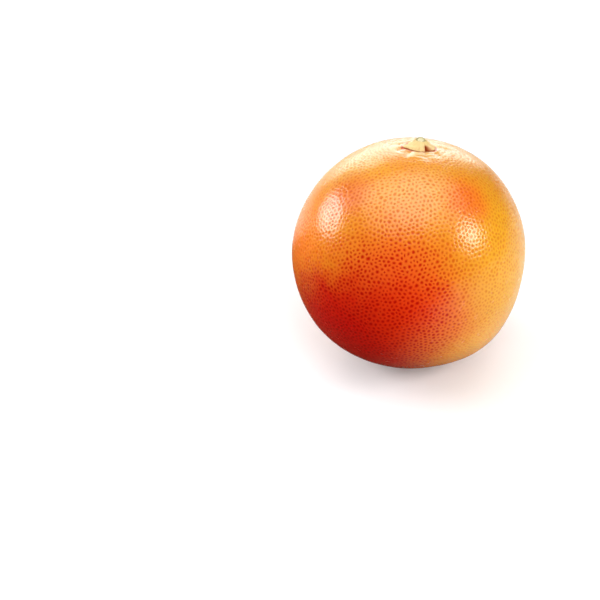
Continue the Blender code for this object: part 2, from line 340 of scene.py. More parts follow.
class NodePlan:
    """A node tree under construction, with short calls that add its nodes and join them."""

    def __init__(self, tree: NodeTree) -> None:
        """Starts on a node tree."""
        self.tree = tree

    def feed(self, socket: Socket, value: Feed) -> None:
        """Links an input to another node's output, or sets it to a value.

        Args:
            socket: The input.
            value: The output or the value.
        """
        if isinstance(value, Socket):
            self.tree.links.new(value, socket)
        elif socket.type == "RGBA" and len(value) == 3:
            socket.default_value = (*value, 1.0)
        else:
            socket.default_value = value

    def feed_all(self, node: Node, feeds: Feeds) -> None:
        """Feeds some of a node's inputs, by their names or numbers."""
        for key, value in feeds.items():
            self.feed(node.inputs[key], value)

    def node(self, kind: str, feeds: Feeds | None = None, **settings: object) -> Node:
        """Adds a node.

        Args:
            kind: The node's type.
            feeds: What each input gets, by the input's name or number.
            settings: The node's own settings.

        Returns:
            The new node.
        """
        added = self.tree.nodes.new(kind)
        for name, setting in settings.items():
            setattr(added, name, setting)
        self.feed_all(added, feeds or {})
        return added

    def output(self, kind: str, feeds: Feeds | None = None, **settings: object) -> Socket:
        """Adds a node and gives its first output."""
        return self.node(kind, feeds, **settings).outputs[0]

    def group(self, tree: NodeTree, feeds: Feeds) -> Node:
        """Places a node group and feeds its inputs."""
        kind = "ShaderNodeGroup" if self.tree.type == "SHADER" else "GeometryNodeGroup"
        return self.node(kind, feeds, node_tree=tree)

    def math(self, operation: str, *values: Feed, clamp: bool = False) -> Socket:
        """The output of a Math node on some values."""
        feeds = dict(enumerate(values))
        return self.output("ShaderNodeMath", feeds, operation=operation, use_clamp=clamp)

    def product(self, first: Feed, *others: Feed) -> Socket:
        """Multiplies two or more numbers, one after another.

        Args:
            first: The first number.
            others: The others.

        Returns:
            The last product.
        """
        for other in others:
            first = self.math("MULTIPLY", first, other)
        return first

    def centred(self, cloud: Socket) -> Socket:
        """A noise's output less its mean of a half."""
        return self.math("SUBTRACT", cloud, 0.5)

    def vector(self, operation: str, *values: Feed) -> Socket:
        """The output of a Vector Math node on some values, a number where the operation gives one."""
        added = self.node("ShaderNodeVectorMath", dict(enumerate(values)), operation=operation)
        return added.outputs["Value" if operation in {"DOT_PRODUCT", "LENGTH", "DISTANCE"} else "Vector"]

    def outwards(self, place: Socket, centre: Feed) -> Socket:
        """The unit direction from a centre to a place."""
        return self.vector("NORMALIZE", self.vector("SUBTRACT", place, centre))

    def scaled(self, vector: Feed, factor: Feed) -> Socket:
        """A vector times a number."""
        return self.output("ShaderNodeVectorMath", {"Vector": vector, "Scale": factor}, operation="SCALE")

    def split(self, vector: Feed) -> Outputs:
        """A vector's parts, by the names X, Y and Z."""
        return self.node("ShaderNodeSeparateXYZ", {0: vector}).outputs

    def ramp(self, value: Feed, low: Feed, high: Feed, to_low: Feed = 0.0, to_high: Feed = 1.0) -> Socket:
        """A value carried smoothly from one range to another, and held at its ends."""
        feeds = {"Value": value, "From Min": low, "From Max": high, "To Min": to_low, "To Max": to_high}
        return self.node("ShaderNodeMapRange", feeds, interpolation_type="SMOOTHSTEP").outputs["Result"]

    def blend(self, share: Feed, first: Feed, second: Feed, how: str = "MIX") -> Socket:
        """Two colours mixed by a share of the second."""
        settings = {"data_type": "RGBA", "blend_type": how, "clamp_factor": True}
        return self.node("ShaderNodeMix", {0: share, 6: first, 7: second}, **settings).outputs[2]

    def place(self) -> Socket:
        """Where a point of the surface is, in Object coordinates."""
        return self.node("ShaderNodeTexCoord").outputs["Object"]

    def attribute(self, name: str) -> Outputs:
        """What was kept on the mesh under a name, as a vector or as a number."""
        return self.node("ShaderNodeAttribute", attribute_name=name).outputs

    def cloud(self, vector: Feed, scale: Feed, detail: float, roughness: float = 0.5) -> Outputs:
        """Soft noise over a vector, as a number first and as a colour."""
        feeds = {"Vector": vector, "Scale": scale, "Detail": detail, "Roughness": roughness}
        return self.node("ShaderNodeTexNoise", feeds).outputs


def start_material(name: str) -> tuple[Material, NodePlan, Node]:
    """Starts a material.

    Args:
        name: The material's name.

    Returns:
        The material, the plan of its node tree, and its Principled BSDF.
    """
    made = bpy.data.materials.new(name)
    made.use_nodes = True
    return made, NodePlan(made.node_tree), made.node_tree.nodes["Principled BSDF"]


def open_group(name: str, kind: str, sockets: Sequence[tuple[str, str, str, float | None]]) -> NodeTree:
    """Makes an empty node group with named inputs and outputs.

    Args:
        name: The group's name.
        kind: The node tree's type.
        sockets: The name, the direction, the kind and the starting value of each socket.

    Returns:
        The new node tree, with its input and output nodes in place.
    """
    tree = bpy.data.node_groups.new(name, kind)
    for socket_name, way, socket_kind, start in sockets:
        socket = tree.interface.new_socket(socket_name, in_out=way, socket_type=f"NodeSocket{socket_kind}")
        if start is not None:
            socket.default_value = start
    tree.nodes.new("NodeGroupInput")
    tree.nodes.new("NodeGroupOutput")
    return tree


def ends(tree: NodeTree) -> tuple[Outputs, bpy.types.NodeInputs]:
    """The outputs of a group's input node and the inputs of its output node."""
    return tree.nodes["Group Input"].outputs, tree.nodes["Group Output"].inputs


def mesh_object(name: str, points: np.ndarray, faces: Sequence[Sequence[int]]) -> Piece:
    """Makes a smooth-shaded object at the origin and puts it in the scene.

    Args:
        name: The object's name.
        points: Its points, one to a row.
        faces: The point numbers of each face.

    Returns:
        The new object.
    """
    mesh = bpy.data.meshes.new(name)
    mesh.from_pydata([tuple(point) for point in points], [], faces)
    mesh.validate()
    mesh.shade_smooth()
    made = bpy.data.objects.new(name, mesh)
    bpy.context.scene.collection.objects.link(made)
    return made


def store(mesh: Mesh, name: str, kind: str, values: np.ndarray) -> None:
    """Keeps a number or a vector on each point of a mesh.

    Args:
        mesh: The mesh.
        name: The name that it is kept under.
        kind: FLOAT or FLOAT_VECTOR.
        values: The numbers or vectors, in the order of the points.
    """
    attribute = mesh.attributes.new(name, kind, "POINT")
    flat = np.ascontiguousarray(values, np.float32).ravel()
    attribute.data.foreach_set("value" if kind == "FLOAT" else "vector", flat)


def swept(path: np.ndarray, spokes: int) -> tuple[np.ndarray, ...]:
    """Carries a section right round an axis.

    Args:
        path: The section's points, one to a row.
        spokes: How many sections go round.

    Returns:
        Each column of the section, repeated for each spoke, and then the azimuth of each point.
    """
    azimuth = np.repeat(np.arange(spokes) * math.tau / spokes, len(path))
    return *(np.tile(column, spokes) for column in path.T), azimuth


def turned_faces(spokes: int, rings: int) -> list[tuple[int, ...]]:
    """The faces of a closed turned body, whose last two points are its first and last middle.

    Args:
        spokes: How many sections go round it.
        rings: How many points each section has, from the first middle to the last.

    Returns:
        The point numbers of each face, for points that are counted section by section.
    """
    first, last = spokes * rings, spokes * rings + 1
    faces: list[tuple[int, ...]] = []
    for spoke in range(spokes):
        here, after = spoke * rings, (spoke + 1) % spokes * rings
        faces.append((first, after, here))
        for ring in range(rings - 1):
            faces.append((here + ring, after + ring, after + ring + 1, here + ring + 1))
        faces.append((last, here + rings - 1, after + rings - 1))
    return faces


def smooth_path(corners: np.ndarray, steps: int, fineness: int = 8) -> np.ndarray:
    """Points evenly along a smooth curve through some corners.

    Args:
        corners: The points that the curve goes through, one to a row.
        steps: How many points to give.
        fineness: How many points the curve is worked out at between two corners.

    Returns:
        The points, one to a row.
    """
    padded = np.vstack([2.0 * corners[0] - corners[1], corners, 2.0 * corners[-1] - corners[-2]])
    samples = []
    for before, start, end, after in zip(padded, padded[1:], padded[2:], padded[3:]):
        for share in np.linspace(0.0, 1.0, fineness, endpoint=False):
            tangent_in, tangent_out = (end - before) / 2.0, (after - start) / 2.0
            square, cube = share**2, share**3
            samples.append(
                start * (2.0 * cube - 3.0 * square + 1.0) + tangent_in * (cube - 2.0 * square + share)
                + end * (3.0 * square - 2.0 * cube) + tangent_out * (cube - square)
            )
    samples.append(corners[-1])
    path = np.array(samples)
    lengths = np.concatenate([[0.0], np.cumsum(np.linalg.norm(np.diff(path, axis=0), axis=1))])
    even = np.linspace(0.0, lengths[-1], steps)
    return np.column_stack([np.interp(even, lengths, column) for column in path.T])


def apply_nodes(blank: Piece, tree: NodeTree, values: dict[str, Feed], name: str) -> Piece:
    """Runs a Geometry Nodes tree on an object and keeps the result as a plain mesh in its place.

    Args:
        blank: The object that the tree starts from, which is removed afterwards.
        tree: The node tree.
        values: What each of the tree's inputs gets, by its name.
        name: The new object's name.

    Returns:
        The new object.
    """
    modifier = blank.modifiers.new(tree.name, "NODES")
    modifier.node_group = tree
    for item in tree.interface.items_tree:
        if item.item_type == "SOCKET" and item.in_out == "INPUT" and item.name in values:
            modifier[item.identifier] = values[item.name]
    blank.update_tag()
    graph = bpy.context.evaluated_depsgraph_get()
    mesh = bpy.data.meshes.new_from_object(blank.evaluated_get(graph), depsgraph=graph)
    mesh.name = name
    blank.modifiers.remove(modifier)
    bpy.data.objects.remove(blank, do_unlink=True)
    made = bpy.data.objects.new(name, mesh)
    bpy.context.scene.collection.objects.link(made)
    return made


def finish_piece(piece: Piece, slot: Slot, stands_for: str | None = None) -> Piece:
    """Fixes a piece to the fruit's body and reports it.

    Args:
        piece: The piece.
        slot: The record's slot for its finish, which is only logged.
        stands_for: The solid that it replaces, if any.

    Returns:
        The piece.
    """
    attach(piece, BODY)
    if stands_for:
        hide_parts(stands_for)
    triangles = sum(len(face.vertices) - 2 for face in piece.data.polygons)
    LOG.info("%s: %d triangles, %s slot", piece.name, triangles, slot.value)
    return piece


class SkinGroups:
    """Shader effects that more than one of the fruit's finishes uses, and short calls that place them."""

    def __init__(self) -> None:
        """Builds the groups once."""
        self.mottle = self.build_mottle()
        self.flecks = self.build_flecks()
        self.grain = self.build_grain()

    def mottled(self, plan: NodePlan, size: float, contrast: float, offset: Triple = (0, 0, 0)) -> Socket:
        """Places soft uneven patches: a mask."""
        feeds = {"Patch Size": size, "Contrast": contrast, "Offset": offset}
        return plan.group(self.mottle, feeds).outputs["Mask"]

    def flecked(self, plan: NodePlan, spacing: float, share: float, rarity: float) -> Socket:
        """Places small flecks: a mask."""
        feeds = {"Fleck Spacing": spacing, "Fleck Share": share, "Rarity": rarity}
        return plan.group(self.flecks, feeds).outputs["Mask"]

    def grained(self, plan: NodePlan, size: float, depth: float, strength: float) -> Socket:
        """Places a finely uneven skin: a normal."""
        feeds = {"Grain Size": size, "Depth": depth, "Strength": strength}
        return plan.group(self.grain, feeds).outputs["Normal"]

    @staticmethod
    def build_mottle() -> NodeTree:
        """Soft uneven patches.

        Returns:
            A group that gives a mask from 0 to 1 that drifts over the surface.
        """
        tree = open_group("mottle", "ShaderNodeTree", (
            ("Patch Size", "INPUT", "Float", 10.0 * MM),
            ("Contrast", "INPUT", "Float", 1.0),
            ("Offset", "INPUT", "Vector", None),
            ("Mask", "OUTPUT", "Float", None),
        ))
        plan, (given, result) = NodePlan(tree), ends(tree)
        moved = plan.vector("ADD", plan.place(), given["Offset"])
        cloud = plan.cloud(moved, plan.math("DIVIDE", 1.0, given["Patch Size"]), 3.0)[0]
        stretched = plan.product(plan.centred(cloud), given["Contrast"])
        plan.feed(result["Mask"], plan.math("ADD", stretched, 0.5, clamp=True))
        return tree

    @staticmethod
    def build_flecks() -> NodeTree:
        """Small scattered flecks.

        Returns:
            A group that gives a mask, 1 inside a fleck.
        """
        tree = open_group("flecks", "ShaderNodeTree", (
            ("Fleck Spacing", "INPUT", "Float", 3.0 * MM),
            ("Fleck Share", "INPUT", "Float", 0.2),
            ("Rarity", "INPUT", "Float", 0.5),
            ("Mask", "OUTPUT", "Float", None),
        ))
        plan, (given, result) = NodePlan(tree), ends(tree)
        place = plan.place()
        scale = plan.math("DIVIDE", 1.0, given["Fleck Spacing"])
        warp = plan.cloud(place, scale, 2.0)["Color"]
        bent = plan.vector("ADD", place, plan.scaled(warp, plan.product(given["Fleck Spacing"], 0.4)))
        cells = plan.node("ShaderNodeTexVoronoi", {"Vector": bent, "Scale": scale})
        chosen = plan.node("ShaderNodeSeparateColor", {0: cells.outputs["Color"]}).outputs["Red"]
        size = plan.product(given["Fleck Share"], plan.ramp(chosen, given["Rarity"], 1.0))
        outside = plan.ramp(cells.outputs["Distance"], plan.product(size, 0.5), size)
        kept = plan.math("GREATER_THAN", chosen, given["Rarity"])
        plan.feed(result["Mask"], plan.product(plan.math("SUBTRACT", 1.0, outside), kept))
        return tree

    @staticmethod
    def build_grain() -> NodeTree:
        """A finely uneven skin.

        Returns:
            A group that gives a bumped normal.
        """
        tree = open_group("skin_grain", "ShaderNodeTree", (
            ("Grain Size", "INPUT", "Float", 0.5 * MM),
            ("Depth", "INPUT", "Float", 0.02 * MM),
            ("Strength", "INPUT", "Float", 1.0),
            ("Normal", "OUTPUT", "Vector", None),
        ))
        plan, (given, result) = NodePlan(tree), ends(tree)
        place = plan.place()
        scale = plan.math("DIVIDE", 1.0, given["Grain Size"])
        rough = plan.cloud(place, scale, 4.0)[0]
        cells = plan.output("ShaderNodeTexVoronoi", {"Vector": place, "Scale": plan.product(scale, 0.6)})
        height = plan.math("ADD", plan.product(rough, 0.7), plan.product(cells, 0.5))
        feeds = {"Strength": given["Strength"], "Distance": given["Depth"], "Height": height}
        plan.feed(result["Normal"], plan.output("ShaderNodeBump", feeds))
        return tree


@dataclass(frozen=True)
class Blush:
    """A patch of another colour on the peel."""

    azimuth: float  # degrees from +X towards +Y
    elevation: float  # degrees above level
    spread: float  # degrees
    colour: Colour
    strength: float
    # a red blush that is partly the peel's own colour and partly painted shade and red bounce light
    is_red_and_shaded: bool = False
    steepness: float = 3.0


def build_blush_group() -> NodeTree:
    """A patch with a ragged edge, round a direction from the fruit's centre.

    Returns:
        A group that gives a mask, 1 at the patch's middle.
    """
    tree = open_group("blush_patch", "ShaderNodeTree", (
        ("Fruit Centre", "INPUT", "Vector", None),
        ("Direction", "INPUT", "Vector", None),
        ("Spread", "INPUT", "Float", 30.0),
        ("Raggedness", "INPUT", "Float", 0.5),
        ("Steepness", "INPUT", "Float", 3.0),
        ("Mask", "OUTPUT", "Float", None),
    ))
    plan, (given, result) = NodePlan(tree), ends(tree)
    outwards = plan.outwards(plan.place(), given["Fruit Centre"])
    cosine = plan.vector("DOT_PRODUCT", outwards, given["Direction"])
    apart = plan.math("DEGREES", plan.math("ARCCOSINE", cosine))
    cloud = plan.cloud(outwards, 5.0, 4.0, 0.6)[0]
    ragged = plan.product(plan.centred(cloud), given["Raggedness"])
    share = plan.math("ADD", plan.math("DIVIDE", apart, given["Spread"]), ragged)
    steep = plan.math("POWER", plan.math("MAXIMUM", share, 0.0), given["Steepness"])
    plan.feed(result["Mask"], plan.math("EXPONENT", plan.product(steep, -1.0)))
    return tree


@dataclass(frozen=True)
class PeelFinish:
    """Waxy orange peel with a red blush, a pale stem end, and a dark speck in each pore. Some of its colour
    is painted light: shade and red bounce light in the red blush low at the front and left, reflected and
    bounce light in two lighter patches, a reflection in the pale stem end, and shade round the calyx's lip.
    """

    orange: Colour = (0.70, 0.250, 0.012)
    light_orange: Colour = (0.74, 0.345, 0.013)
    pore: Colour = (0.61, 0.07, 0.0)  # what each pore leaves of the peel's own colour
    faint_pore: float = 0.48  # how strong the pores are away from the blush
    # the pale stem end's colour: partly its own paleness and partly a painted reflection
    cream_and_reflection: Colour = (0.66, 0.42, 0.14)
    # painted shade in the crevice round the calyx's lip, in red-brown
    crevice_shade: Colour = (0.46, 0.06, 0.0)
    furrow: Colour = (0.52, 0.23, 0.035)
    fleck: Colour = (0.42, 0.20, 0.05)
    roughness: float = 0.23
    cream_roughness: float = 0.12  # added where the peel is pale
    crevice_roughness: float = 0.5  # added in the crevice
    gloss: float = 0.18
    wax: float = 0.80  # the coat's weight between the pores, which have none
    wax_roughness: float = 0.22
    glow_through: float = 0.1
    glow_reach: float = 1.2 * MM
    blushes: tuple[Blush, ...] = (
        # brighter red-orange at the left side: partly the peel's own colour and partly painted reflected
        # light
        Blush(-168.0, 18.0, 24.0, (0.95, 0.24, 0.008), 0.8),
        Blush(150.0, 52.0, 22.0, (0.76, 0.42, 0.06), 0.6),
        Blush(38.0, 62.0, 20.0, (0.74, 0.43, 0.06), 0.5),
        # red blush low at the front and left: partly the peel's own colour and partly painted shade and red
        # bounce light
        Blush(-103.0, 11.0, 33.0, (0.79, 0.088, 0.008), 0.92, is_red_and_shaded=True),
        Blush(-127.0, -25.0, 42.0, (0.60, 0.001, 0.0003), 1.0, is_red_and_shaded=True, steepness=5.0),
        Blush(-90.0, -3.0, 23.0, (0.74, 0.025, 0.001), 0.85, is_red_and_shaded=True),
        Blush(-70.0, -20.0, 20.0, (0.78, 0.16, 0.008), 0.7),
        Blush(-21.0, -4.0, 34.0, (0.78, 0.41, 0.020), 1.0),
        Blush(-30.0, 30.0, 22.0, (0.77, 0.36, 0.012), 0.8),
        Blush(172.0, 62.0, 14.0, (0.68, 0.36, 0.05), 0.7),
        Blush(-42.0, 52.0, 12.0, (0.78, 0.13, 0.01), 0.75),
        Blush(-150.0, 50.0, 12.0, (0.70, 0.13, 0.01), 0.7),
        # lighter orange low at the front right: partly the peel's own colour and partly painted bounce light
        # from the floor
        Blush(-50.0, -34.0, 20.0, (0.89, 0.47, 0.030), 0.8),
        Blush(95.0, -5.0, 50.0, (0.66, 0.27, 0.02), 0.6),
        Blush(150.0, -30.0, 30.0, (0.70, 0.10, 0.01), 0.5),
    )

    def material(self, rind: Rind, groups: SkinGroups) -> Material:
        """Makes the peel's material.

        Args:
            rind: The rind, for the fruit's centre.
            groups: The shared shader effects.

        Returns:
            The new material.
        """
        made, plan, shader = start_material("peel")
        patches = groups.mottled(plan, 9.0 * MM, 1.6)
        colour = plan.blend(plan.product(patches, 0.55), self.orange, self.light_orange)
        colour, redness_and_shade = self.blushed(plan, rind, colour)
        # dark is painted crevice shade; pale is the pale stem end, partly its own paleness and partly a
        # painted reflection
        dark, pale, folded = plan.split(plan.attribute("tints")["Vector"])
        colour = plan.blend(pale, colour, self.cream_and_reflection)
        broken = groups.mottled(plan, 1.4 * MM, 2.2)
        folded = plan.math("MULTIPLY", plan.product(folded, broken), 0.8, clamp=True)
        colour = plan.blend(folded, colour, self.furrow)
        pore = plan.attribute("pore_tone")["Fac"]
        tone = plan.product(plan.ramp(pore, 0.05, 0.9), plan.ramp(redness_and_shade, 0.0, 0.8, self.faint_pore, 1.0))
        colour = plan.blend(tone, colour, self.pore, "MULTIPLY")
        colour = plan.blend(plan.product(groups.flecked(plan, 6.0 * MM, 0.13, 0.72), 0.3), colour, self.fleck)
        worn = groups.mottled(plan, 4.0 * MM, 1.2, (0.1, 0.2, 0.3))
        rough = plan.ramp(worn, 0.0, 1.0, self.roughness - 0.05, self.roughness + 0.07)
        rough = plan.math("ADD", rough, plan.product(pale, self.cream_roughness))
        # the first tint is painted shade: red-brown round the calyx's lip
        plan.feed_all(shader, {
            "Base Color": plan.blend(dark, colour, self.crevice_shade),
            "Roughness": plan.math("ADD", rough, plan.product(dark, self.crevice_roughness)),
            "Normal": groups.grained(plan, 0.45 * MM, 0.02 * MM, 0.4),
            "Specular IOR Level": self.gloss,
            "Coat Weight": plan.ramp(pore, 0.05, 0.85, self.wax, 0.0),
            "Coat Roughness": self.wax_roughness,
            "Subsurface Weight": self.glow_through,
            "Subsurface Radius": (1.0, 0.35, 0.1),
            "Subsurface Scale": self.glow_reach,
        })
        return made

    def blushed(self, plan: NodePlan, rind: Rind, colour: Socket) -> tuple[Socket, Feed]:
        """Lays the patches of other colours over the peel's own.

        Args:
            plan: The material's node tree.
            rind: The rind, for the fruit's centre.
            colour: The peel's own colour.

        Returns:
            The new colour, and how much of it is red blush, which is partly painted shade and red bounce
            light.
        """
        patch = build_blush_group()
        redness_and_shade: Feed = 0.0
        for blush in self.blushes:
            mask = plan.group(patch, {
                "Fruit Centre": tuple(rind.centre), "Direction": direction_at(blush.azimuth, blush.elevation),
                "Spread": blush.spread, "Steepness": blush.steepness,
            }).outputs["Mask"]
            colour = plan.blend(plan.product(mask, blush.strength), colour, blush.colour)
            if blush.is_red_and_shaded:
                redness_and_shade = plan.math("MAXIMUM", redness_and_shade, mask)
        return colour, redness_and_shade


@dataclass(frozen=True)
class SepalFinish:
    """Dry, pale yellow sepals with fibres that run outwards, and brown torn edges."""

    straw: Colour = (0.76, 0.54, 0.23)
    green: Colour = (0.64, 0.54, 0.21)
    brown: Colour = (0.36, 0.050, 0.003)
    roughness: float = 0.68
    fibres_around: float = 90.0
    fibres_outwards: float = 5.0
    fibre_depth: float = 0.08 * MM

    def material(self, groups: SkinGroups) -> Material:
        """Makes the sepals' material.

        Args:
            groups: The shared shader effects.

        Returns:
            The new material.
        """
        made, plan, shader = start_material("dried_sepals")
        patches = groups.mottled(plan, 3.0 * MM, 2.4)
        colour = plan.blend(plan.product(patches, 0.6), self.straw, self.green)
        around = plan.output("ShaderNodeUVMap", uv_map="spokes")
        stretch = (self.fibres_around, self.fibres_outwards, 1.0)
        stretched = plan.output("ShaderNodeMapping", {"Vector": around, "Scale": stretch})
        fibres = plan.cloud(stretched, 1.0, 3.0)[0]
        colour = plan.blend(plan.ramp(fibres, 0.52, 0.75, 0.0, 0.35), colour, self.brown)
        bump = plan.node("ShaderNodeBump", {
            "Strength": 0.7, "Distance": self.fibre_depth, "Height": fibres,
            "Normal": groups.grained(plan, 0.3 * MM, 0.05 * MM, 0.7),
        })
        plan.feed_all(shader, {
            "Base Color": plan.blend(plan.attribute("torn")["Fac"], colour, self.brown),
            "Roughness": plan.ramp(patches, 0.0, 1.0, self.roughness - 0.1, self.roughness + 0.1),
            "Normal": bump.outputs[0],
        })
        return made


@dataclass(frozen=True)
class ScarFinish:
    """Dry cork: a dark olive rim round a paler core, both broken up by flecks."""

    rim: Colour = (0.36, 0.30, 0.12)
    core: Colour = (0.66, 0.60, 0.36)
    crack: Colour = (0.08, 0.06, 0.025)
    roughness: float = 0.85

    def material(self, name: str, groups: SkinGroups) -> Material:
        """Makes the scar's material.

        Args:
            name: The material's name.
            groups: The shared shader effects.

        Returns:
            The new material.
        """
        made, plan, shader = start_material(name)
        patches = groups.mottled(plan, 0.9 * MM, 2.5)
        uneven = plan.product(plan.centred(patches), 0.5)
        rim = plan.math("ADD", plan.attribute("rim")["Fac"], uneven, clamp=True)
        colour = plan.blend(rim, self.core, self.rim)
        cracks = plan.product(groups.flecked(plan, 0.5 * MM, 0.35, 0.45), 0.7)
        plan.feed_all(shader, {
            "Base Color": plan.blend(cracks, colour, self.crack),
            "Roughness": plan.ramp(patches, 0.0, 1.0, self.roughness - 0.12, self.roughness),
            "Normal": groups.grained(plan, 0.25 * MM, 0.08 * MM, 0.9),
        })
        return made


@dataclass(frozen=True)
class FloorFinish:
    """A satin white tabletop. It throws red light at the left and in front, and white at the right."""

    white: Colour = (0.84, 0.84, 0.84)
    thrown_left: Colour = (0.26, 0.055, 0.03)
    thrown_right: Colour = (0.85, 0.78, 0.66)
    turn: tuple[float, float] = (-0.03, 0.08)  # where one thrown colour goes over to the other, along X
    near: float = 0.05  # how far the line between them runs straight, in front and behind
    lean_in_front: float = 0.8  # how far to the right it leans, a metre further to the front
    lean_behind: float = 2.0  # how far to the left it leans for each metre further back
    lift: float = 0.13  # how bright it looks by itself, near the fruit
    lift_range: tuple[float, float] = (0.3, 0.9)  # where that grows to 1
    roughness: float = 0.5
    gloss: float = 0.05

    def material(self) -> Material:
        """Makes the tabletop's material.

        Returns:
            The new material.
        """
        made, plan, shader = start_material("white_tabletop")
        place = plan.place()
        across, along, _ = plan.split(place)
        behind = plan.math("MAXIMUM", plan.math("SUBTRACT", along, self.near), 0.0)
        in_front = plan.ramp(along, -self.near, -self.near - 1.0, 0.0, -self.lean_in_front)
        aside = plan.math("ADD", plan.math("ADD", across, plan.product(behind, self.lean_behind)), in_front)
        thrown = plan.blend(plan.ramp(aside, *self.turn), self.thrown_left, self.thrown_right)
        looked_at = plan.node("ShaderNodeLightPath").outputs["Is Camera Ray"]
        glow = plan.ramp(plan.vector("LENGTH", place), *self.lift_range, self.lift, 1.0)
        plan.feed_all(shader, {
            "Base Color": plan.blend(looked_at, thrown, self.white),
            "Emission Color": plan.blend(looked_at, (0.0, 0.0, 0.0), glow),
            "Emission Strength": 1.0,
            "Roughness": self.roughness,
            "Specular IOR Level": self.gloss,
        })
        return made


@dataclass
class PoreTree:
    """Geometry Nodes that grow oil-gland pores over a smooth rind round a centre.

    Points spread evenly over the rind become the middles of cells. Each cell gets an inner ring and a
    sunken middle, and every point is then carried back to the rind along a ray from the centre.
    """

    points_to_spacing: float = 1.28  # even spacing for each unit of least distance between points
    candidates: float = 6.0  # points tried for each one kept
    closest: float = 0.62 * MM
    ring_share: float = 0.4  # how pore-like the inner ring is
    smallest: float = 0.82  # the least width of a pore, as a share of the usual one
    largest: float = 1.16  # the greatest
    wave_gain: float = 4.0  # makes up for noise that keeps to a quarter of its range
    weld: float = 1e-6  # how close points are joined at the end

    def __post_init__(self) -> None:
        """Opens the tree with its named inputs."""
        self.tree = open_group("peel_pores", "GeometryNodeTree", (
            ("Rind", "INPUT", "Geometry", None),
            ("Fruit Centre", "INPUT", "Vector", None),
            ("Fruit Radius", "INPUT", "Float", 55.0 * MM),
            *((f"{band.value} Spacing", "INPUT", "Float", 2.0 * MM) for band in Band),
            ("Stem Reach", "INPUT", "Float", 14.0 * MM),
            ("Shoulder Reach", "INPUT", "Float", 24.0 * MM),
            ("Blossom Start", "INPUT", "Float", 168.0 * MM),
            ("Pore Width", "INPUT", "Float", 0.5),
            ("Wave Height", "INPUT", "Float", 0.08 * MM),
            ("Wave Length", "INPUT", "Float", 10.0 * MM),
            ("Seed", "INPUT", "Int", 1),
            ("Material", "INPUT", "Material", None),
            ("Peel", "OUTPUT", "Geometry", None),
        ))
        self.plan = NodePlan(self.tree)
        self.given, self.result = ends(self.tree)

    def build(self) -> NodeTree:
        """Fills the tree.

        Returns:
            The tree.
        """
        placed = self.carry_back(self.pores(self.cells()))
        smooth = self.plan.output("GeometryNodeSetShadeSmooth", {0: placed})
        real = self.plan.output("GeometryNodeRealizeInstances", {0: smooth})
        feeds = {"Geometry": real, "Material": self.given["Material"]}
        self.plan.feed(self.result["Peel"], self.plan.output("GeometryNodeSetMaterial", feeds))
        return self.tree

    def spread_group(self) -> NodeTree:
        """Points spread evenly, but at random, over one band of the rind.

        Returns:
            A group that gives the points.
        """
        tree = open_group("spread_points", "GeometryNodeTree", (
            ("Rind", "INPUT", "Geometry", None),
            ("From", "INPUT", "Float", 0.0),
            ("To", "INPUT", "Float", 1.0),
            ("Spacing", "INPUT", "Float", 2.0 * MM),
            ("Seed", "INPUT", "Int", 0),
            ("Points", "OUTPUT", "Geometry", None),
        ))
        plan, (given, result) = NodePlan(tree), ends(tree)
        arc = self.read(plan, "from_stem")
        after = plan.math("GREATER_THAN", arc, given["From"])
        before = plan.math("LESS_THAN", arc, given["To"])
        area = plan.product(given["Spacing"], given["Spacing"])
        spread = plan.node("GeometryNodeDistributePointsOnFaces", {
            "Mesh": given["Rind"],
            "Selection": plan.product(after, before),
            "Distance Min": plan.math("DIVIDE", given["Spacing"], self.points_to_spacing),
            "Density Max": plan.math("DIVIDE", self.candidates, area),
            "Seed": given["Seed"],
        }, distribute_method="POISSON")
        plan.feed(result["Points"], spread.outputs["Points"])
        return tree

    def cells(self) -> Socket:
        """Spreads the points and turns them into cells.

        Returns:
            The cells, on a ball of radius 1 round the origin.
        """
        plan, given = self.plan, self.given
        group = self.spread_group()
        limits = (0.0, given["Stem Reach"], given["Shoulder Reach"], given["Blossom Start"], 1.0)
        joined = plan.node("GeometryNodeJoinGeometry")
        for number, band in enumerate(Band):
            points = plan.group(group, {
                "Rind": given["Rind"], "From": limits[number], "To": limits[number + 1],
                "Spacing": given[f"{band.value} Spacing"], "Seed": plan.math("ADD", given["Seed"], number),
            })
            plan.feed(joined.inputs[0], points.outputs["Points"])
        apart = self.merged(joined.outputs[0], self.closest)
        outwards = plan.outwards(plan.output("GeometryNodeInputPosition"), given["Fruit Centre"])
        hull = plan.output("GeometryNodeConvexHull", {0: self.moved(apart, outwards)})
        return plan.output("GeometryNodeDualMesh", {"Mesh": hull})

    def pores(self, cells: Socket) -> Socket:
        """Gives each cell an inner ring and a middle, and keeps how pore-like each point is.

        Args:
            cells: The cells.

        Returns:
            The cells with their rings and middles.
        """
        plan, given = self.plan, self.given
        sizes = {2: self.smallest, 3: self.largest, "Seed": given["Seed"]}
        size = plan.node("FunctionNodeRandomValue", sizes).outputs[1]
        sized = self.keep(cells, "pore_size", size, "FACE")
        ring = plan.node("GeometryNodeExtrudeMesh", {"Mesh": sized, "Offset Scale": 0.0, "Individual": True})
        drawn = self.shrink(ring, plan.product(given["Pore Width"], self.read(plan, "pore_size")))
        marked = self.keep(drawn, "pore", self.ring_share, "POINT", ring.outputs["Top"])
        middle = plan.node("GeometryNodeExtrudeMesh", {
            "Mesh": marked, "Selection": ring.outputs["Top"], "Offset Scale": 0.0, "Individual": True,
        })
        marked = self.keep(self.shrink(middle, 0.0), "pore", 1.0, "POINT", middle.outputs["Top"])
        return self.merged(marked, self.weld)

